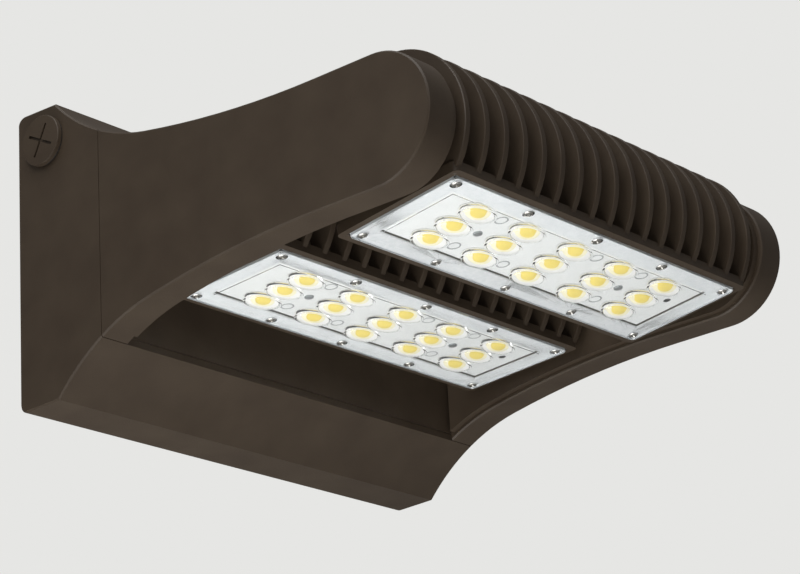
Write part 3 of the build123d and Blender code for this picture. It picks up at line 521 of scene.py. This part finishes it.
# %% [markdown]
# ## LEDs
# A real LED is a white package about 5 mm square with yellow phosphor under clear
# silicone, in an air cavity of its optic. The shapes here are a stand-in for how that
# looks: package and phosphor are drawn several times too wide, because this plain dome
# doesn't swell them as the real moulding does, and the optic has a solid foot in place
# of the cavity, so that total reflection doesn't hide them. The dark dot stands for a
# spot that shows beside each phosphor; what it really is isn't known.

# %% LEDs
BOARD_FACE = 5.0  # board's lower face over the lens plate's outer face, mm
PACKAGE = (12.6, 7.0, 0.35)  # half length, half width and height
RIM = (8.2, 4.7, 0.6)  # cream rim round the phosphor
PHOSPHOR = (5.6, 3.3, 0.9)
DOT = (0.9, 0.55, 0.35)
DOT_SHIFT = (-7.6, 0.3)


def low_dome(half, base):
    """An oval with a rounded face that looks down, standing on height `base`."""
    arc = [i * math.pi / 16 for i in range(9)]
    skin = [(math.sin(a), base - half[2] * math.cos(a)) for a in arc]
    return spun_oval(skin + [(1.0, base + 0.1), (0.0, base + 0.1)], half[:2])


def led_layer(which, name, shape, material, shift=(0.0, 0.0)):
    """One kind of solid at every LED of a module, in place of the CAD LEDs."""
    places = [(x + shift[0], y + shift[1]) for x, y in GRID]
    bm = merged_copies(shape, places, LENS_Z + BOARD_FACE)
    piece = seat_in_module(finish_mesh(bm, f"{which}_{name}", material), which)
    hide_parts(f"{which}_leds")
    print(piece.name, len(piece.data.polygons), "faces")


for which in PIVOTS:
    led_layer(which, "led_packages", low_dome(PACKAGE, -0.3), LED_CERAMIC)
    led_layer(which, "phosphor_rims", low_dome(RIM, -0.5), PHOSPHOR_RIM)
    led_layer(which, "led_phosphor", low_dome(PHOSPHOR, -0.6), FINISHES["led_phosphor"])
    # A small dark dot beside each phosphor; what it really is isn't known.
    led_layer(which, "dark_dots", low_dome(DOT, -0.55), FINISHES["black_plastic"], DOT_SHIFT)

# %% [markdown]
# ## Grey rings on the board
# Faint round marks show between the LEDs. Grey rings are drawn on the board there;
# what the marks really are isn't known. A ring is a tenth of a millimetre thick here,
# so that it shows as real geometry.

# %% Grey rings on the board
RING_HEIGHT = 0.1
RING_PLACES = [(-69.9, 18.6), (-69.9, -18.6), (69.9, 18.6), (69.9, -18.6), (-23.3, 18.6), (23.3, -18.6)]
RING_RADII = (3.4, 4.4)


def board_rings(which):
    """Grey rings on a module's board, riding with it."""
    inner, outer = RING_RADII
    section = [(inner, 0.0), (inner, -RING_HEIGHT), (outer, -RING_HEIGHT), (outer, 0.0), (inner, 0.0)]
    rings = merged_copies(spun_oval(section, (1.0, 1.0)), RING_PLACES, LENS_Z + BOARD_FACE)
    # Grey rings where faint round marks show; what the marks are isn't known.
    rings = seat_in_module(finish_mesh(rings, f"{which}_grey_rings", RING_GREY, smooth=False), which)
    print(rings.name, len(rings.data.polygons), "faces")


for which in PIVOTS:
    board_rings(which)

# %% [markdown]
# ## Lens screws
# Ten stainless pan heads per plate sit in moulded wells, nearly flush. A real screw is
# cold headed, and a punch with four wings leaves the cross recess. Here the head is
# spun from its profile and a tapered cross is cut out of it.

# %% Lens screws
HEAD_RADIUS, HEAD_HEIGHT, HEAD_SINK = 3.3, 2.0, 1.5
SHANK = (1.75, 6.0)  # radius and length under the head
RECESS = (1.9, 0.42, 1.3)  # reach and half width of a wing, and depth
RECESS_TURNS = (20, 110)  # degrees
CROWN = [(0.0, 1.0), (0.55, 0.97), (0.8, 0.85), (0.95, 0.6), (1.0, 0.3)]  # shares of the head
TAPER = (0.45, 0.6)  # of a wing's length and width, at its bottom
OVERCUT, OVERHANG = 1.15, 0.4  # a cutting bar's widening at the crown, and its height over it


def pan_head():
    """Head and shank of one screw, its seat at height 0 and its head downwards."""
    r, h = HEAD_RADIUS, HEAD_HEIGHT
    crown = [(r * across, -h * up) for across, up in CROWN]
    profile = crown + [(r, 0.0), (SHANK[0], 0.0), (SHANK[0], SHANK[1]), (0.0, SHANK[1])]
    return spun_oval(profile, (1.0, 1.0))


def recess_bar(turn):
    """One tapered bar of the cross, to be cut out of the head."""
    reach, half, depth = RECESS
    bm = bmesh.new()
    made = bmesh.ops.create_cube(bm, size=2.0)["verts"]
    for v in made:
        inner = v.co.z > 0
        v.co.x *= reach * (TAPER[0] if inner else OVERCUT)
        v.co.y *= half * (TAPER[1] if inner else OVERCUT)
        v.co.z = depth - HEAD_HEIGHT if inner else -HEAD_HEIGHT - OVERHANG
    bmesh.ops.rotate(bm, verts=made, matrix=Matrix.Rotation(turn, 3, "Z"))
    return bm


def lens_screws(which):
    """The ten lens screws of one module, in place of their CAD node."""
    steel = FINISHES["stainless"]
    piece = finish_mesh(pan_head(), "one_screw", steel)
    for degrees in RECESS_TURNS:
        bar = recess_bar(math.radians(degrees))
        boolean(piece, finish_mesh(bar, "bar", steel, smooth=False), "DIFFERENCE")
    one = bmesh.new()
    one.from_mesh(piece.data)
    bpy.data.objects.remove(piece)
    bm = merged_copies(one, SCREWS, LENS_Z + HEAD_SINK)
    piece = finish_mesh(bm, f"{which}_cross_head_screws", steel)
    piece.data.set_sharp_from_angle(angle=math.radians(40))
    seat_in_module(piece, which)
    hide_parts(f"{which}_lens_screws")
    print(piece.name, len(piece.data.polygons), "faces")


for which in PIVOTS:
    lens_screws(which)

# %% [markdown]
# ## Studio
# The light hangs in the air of a plain studio: a pale floor well below it, a pale
# surround, and three broad lamps: one above, one to the left for the side faces, and
# one below, because the photo's lens plates are nearly white. The world gives little
# light, so that the recess and the gaps between the fins stay dark.

# %% Floor and surround
FLOOR_Z = -0.95
FLOOR_GLOW = 0.8  # how far the floor is seen pale, whatever light falls on it
bm = bmesh.new()
bmesh.ops.create_grid(bm, x_segments=1, y_segments=1, size=6.0)
bmesh.ops.translate(bm, verts=bm.verts, vec=(0, 0, FLOOR_Z))
pale_floor = moulded("matt_pale_floor", "#D9D9D7", "#DFDFDD", 0.7, 0.85, 60.0, 0.02)
tree = pale_floor.node_tree
shader = next(n for n in tree.nodes if n.type == "BSDF_PRINCIPLED")
output = next(n for n in tree.nodes if n.type == "OUTPUT_MATERIAL")
glow = add_node(tree, "ShaderNodeEmission", {"Color": linear("#DCDCDA"), "Strength": 1.0})
rays = add_node(tree, "ShaderNodeLightPath").outputs["Is Camera Ray"]
share = add_node(tree, "ShaderNodeMath", {0: rays, 1: FLOOR_GLOW}, operation="MULTIPLY")
shown = {0: share.outputs[0], 1: shader.outputs[0], 2: glow.outputs[0]}
mix = add_node(tree, "ShaderNodeMixShader", shown)
tree.links.new(mix.outputs[0], output.inputs["Surface"])
floor = finish_mesh(bm, "studio_floor", pale_floor, smooth=False)

world = bpy.data.worlds.new("studio")
bpy.context.scene.world = world
world.use_nodes = True
tree = world.node_tree
tree.nodes.clear()
fill = add_node(tree, "ShaderNodeBackground", {"Color": linear("#FFFFFF"), "Strength": 0.17})
seen = add_node(tree, "ShaderNodeBackground", {"Color": linear("#E6E6E4"), "Strength": 1.0})
rays = add_node(tree, "ShaderNodeLightPath")
shown = {0: rays.outputs["Is Camera Ray"], 1: fill.outputs[0], 2: seen.outputs[0]}
both = add_node(tree, "ShaderNodeMixShader", shown)
add_node(tree, "ShaderNodeOutputWorld", {"Surface": both.outputs[0]})


# %% Lamps
def soft_lamp(name, place, target, size, power):
    """A square area lamp that faces a point."""
    lamp = bpy.data.lights.new(name, "AREA")
    lamp.size = size
    lamp.energy = power
    holder = bpy.data.objects.new(name, lamp)
    bpy.context.scene.collection.objects.link(holder)
    holder.location = place
    aim = Vector(target) - Vector(place)
    holder.rotation_euler = aim.to_track_quat("-Z", "Y").to_euler()


MIDDLE = (0.0, -0.17, 0.0)
soft_lamp("top_lamp", (-0.5, -0.5, 1.4), MIDDLE, 1.2, 14.0)
soft_lamp("low_lamp", (-0.25, -0.22, -0.9), MIDDLE, 0.9, 9.2)
soft_lamp("side_lamp", (-1.5, -0.6, 0.9), MIDDLE, 1.0, 9.5)

# %% [markdown]
# ## Camera
# The photograph was taken from in front, left and below. The direction, the roll
# and the distance were solved from the object's own straight edges and arcs.

# %% Camera
AZIMUTH, ELEVATION, ROLL = -50.368, -20.420, 3.444
CAMERA_PLACE = (-1.26384, -1.21050, -0.62988)
FOCAL = 123.26  # mm on a 36 mm sensor

az, el, roll = (math.radians(a) for a in (AZIMUTH, ELEVATION, ROLL))
forward = Vector((-math.sin(az) * math.cos(el), math.cos(az) * math.cos(el), -math.sin(el)))
level_right = Vector((math.cos(az), math.sin(az), 0))
level_up = level_right.cross(forward)
right = math.cos(roll) * level_right - math.sin(roll) * level_up
up = right.cross(forward)

lens = bpy.data.cameras.new("photo_camera")
lens.lens = FOCAL
lens.sensor_width = 36.0
lens.clip_start, lens.clip_end = 0.05, 20.0
camera = bpy.data.objects.new("photo_camera", lens)
bpy.context.scene.collection.objects.link(camera)
turned = Matrix((right, up, -forward)).transposed().to_4x4()
camera.matrix_world = Matrix.Translation(CAMERA_PLACE) @ turned
bpy.context.scene.camera = camera
bpy.context.scene.view_settings.view_transform = "Standard"
